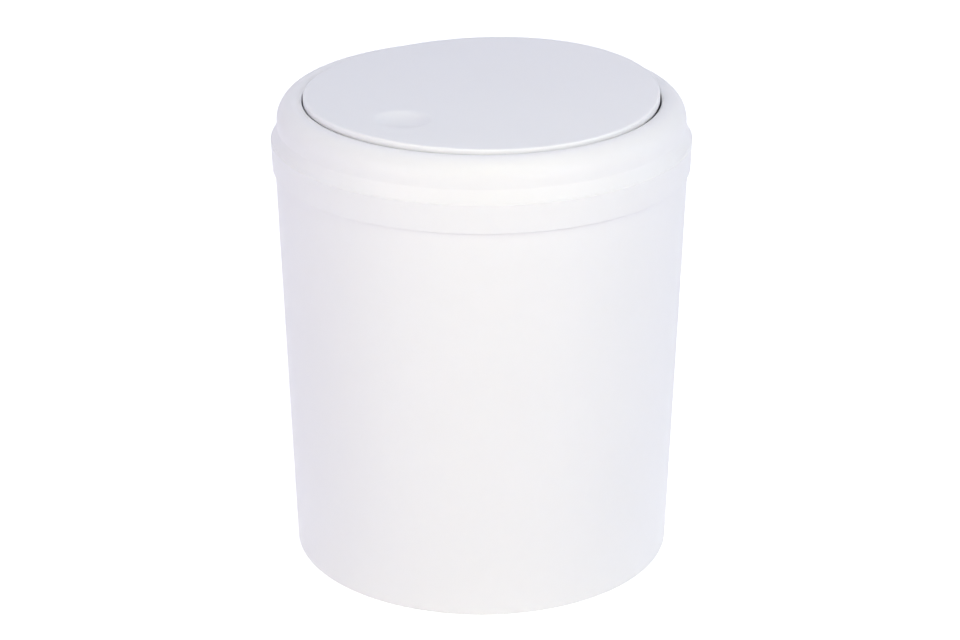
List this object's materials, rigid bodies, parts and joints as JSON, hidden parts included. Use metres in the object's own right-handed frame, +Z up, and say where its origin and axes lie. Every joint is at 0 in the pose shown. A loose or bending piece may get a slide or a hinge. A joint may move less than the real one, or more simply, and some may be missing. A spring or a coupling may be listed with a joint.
{
  "type": "countertop waste bin",
  "caption": "Round tapered countertop waste bin with a lift-off domed lid ring and a round swing flap that closes by its own weight.",
  "frame": {"origin": "centre of the base, on the worktop", "axes": "+Z up, X along the flap's hinge, -Y towards the finger press"},
  "size_m": [0.1604, 0.1604, 0.187],
  "materials": {
    "tub_plastic": "white polypropylene, satin",
    "lid_plastic": "white polypropylene, satin",
    "flap_plastic": "white polypropylene, fine matt grain",
    "rod_steel": "zinc plated",
    "plug_plastic": "white polypropylene, satin"
  },
  "bodies": {
    "bin": {"bin_body": "tub_plastic"},
    "lid": {"lid_ring": "lid_plastic"},
    "flap": {"swing_flap": "flap_plastic", "counterweight": "rod_steel", "weight_plug": "plug_plastic"}
  },
  "joints": [
    {"name": "lid_lift", "type": "slide", "parent": "bin", "child": "lid", "axis": [0, 0, 1], "range_m": [0, 0.06]},
    {"name": "flap_swing", "type": "hinge", "parent": "lid", "child": "flap", "pos_m": [0, 0, 0.17874], "axis": [1, 0, 0], "range_deg": [-85, 85]}
  ]
}
